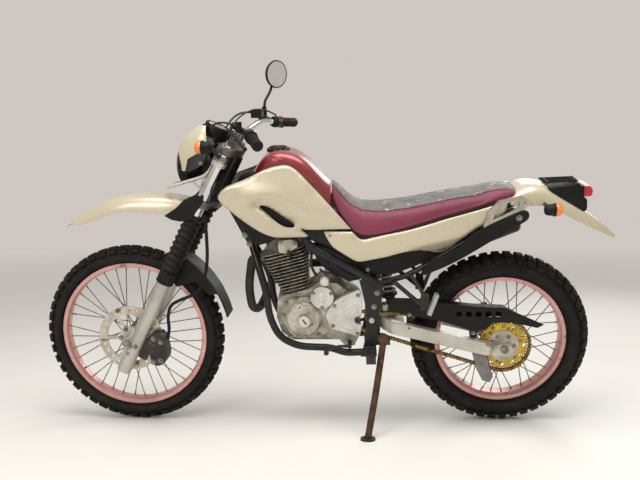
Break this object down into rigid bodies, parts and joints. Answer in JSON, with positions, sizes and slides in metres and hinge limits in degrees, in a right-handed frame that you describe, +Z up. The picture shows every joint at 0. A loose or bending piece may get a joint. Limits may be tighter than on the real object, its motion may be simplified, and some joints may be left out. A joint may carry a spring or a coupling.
{
  "type": "dual sport motorcycle",
  "caption": "Light off-road style motorcycle for road and trail, leaning on its side stand, with turning bars, turning wheels and a folding stand.",
  "frame": {"origin": "centre of the bounding box at floor level, under the parked, leaning motorcycle", "axes": "+X rearward along the wheelbase, +Y to the rider's right, +Z up"},
  "size_m": [2.0898, 0.8114, 1.3621],
  "materials": {
    "black_steel": "satin",
    "silver_steel": "worn",
    "chrome": "polished, a little stained",
    "cast_alloy": "cast, weathered",
    "rim_alloy": "anodised, satin",
    "gold_steel": "satin",
    "rusty_steel": "rusty",
    "tyre": "matte",
    "rubber": "matte",
    "cream_plastic": "satin gloss",
    "black_plastic": "matte",
    "red_paint": "metallic gloss",
    "seat_cover": "worn vinyl",
    "red_lens": "clear gloss",
    "orange_lens": "clear gloss"
  },
  "bodies": {
    "frame": {"frame": "black_steel", "swingarm": "cast_alloy", "rear_axle": "silver_steel", "rear_shock": "black_steel", "rear_caliper": "cast_alloy", "crankcase": "cast_alloy", "cylinder": "cast_alloy", "cylinder_head": "cast_alloy", "engine_covers": "cast_alloy", "carburettor": "cast_alloy", "air_box": "black_plastic", "exhaust": "black_steel", "chain": "gold_steel", "chain_guard": "black_plastic", "fuel_tank": "red_paint", "fuel_cap": "black_plastic", "tank_shrouds": "cream_plastic", "side_panels": "cream_plastic", "seat": "seat_cover", "rear_fender": "cream_plastic", "tail_lamp": "red_lens", "rear_signals": "orange_lens", "grab_handles": "cast_alloy", "rail_covers": "black_plastic", "footrests": "rusty_steel", "foot_levers": "silver_steel"},
    "steering": {"fork_sliders": "cast_alloy", "fork_tubes": "chrome", "fork_boots": "rubber", "fork_clamps": "black_steel", "front_axle": "silver_steel", "handlebar": "silver_steel", "grips": "rubber", "hand_controls": "black_plastic", "mirror": "black_plastic", "headlight": "black_plastic", "headlight_cowl": "cream_plastic", "headlight_guard": "chrome", "instrument": "black_plastic", "front_signals": "orange_lens", "front_fender": "cream_plastic", "fender_mount": "black_plastic", "mud_guard": "black_plastic", "front_caliper": "cast_alloy", "brake_hose": "rubber"},
    "front_wheel": {"front_tyre": "tyre", "front_rim": "rim_alloy", "front_spokes": "silver_steel", "front_hub": "cast_alloy", "front_disc": "silver_steel"},
    "rear_wheel": {"rear_tyre": "tyre", "rear_rim": "rim_alloy", "rear_spokes": "silver_steel", "rear_hub": "cast_alloy", "rear_disc": "silver_steel", "rear_sprocket": "gold_steel"},
    "side_stand": {"side_stand": "rusty_steel"}
  },
  "joints": [
    {"name": "steering_turn", "type": "hinge", "parent": "frame", "child": "steering", "pos_m": [-0.39143, 0.0591, 0.81932], "axis": [0.4489, -0.1751, 0.8763], "range_deg": [-46.1, 55.9]},
    {"name": "front_wheel_spin", "type": "hinge", "parent": "steering", "child": "front_wheel", "pos_m": [-0.70591, 0.16082, 0.33626], "axis": [0.0763, 0.9845, 0.1576], "continuous": true},
    {"name": "rear_wheel_spin", "type": "hinge", "parent": "frame", "child": "rear_wheel", "pos_m": [0.6539, 0.15831, 0.32282], "axis": [0, 0.9806, 0.1959], "continuous": true},
    {"name": "stand_fold", "type": "hinge", "parent": "frame", "child": "side_stand", "pos_m": [0.2209, 0.0146, 0.33775], "axis": [-0.255, -0.9177, 0.3045], "range_deg": [0, 99.6]}
  ]
}
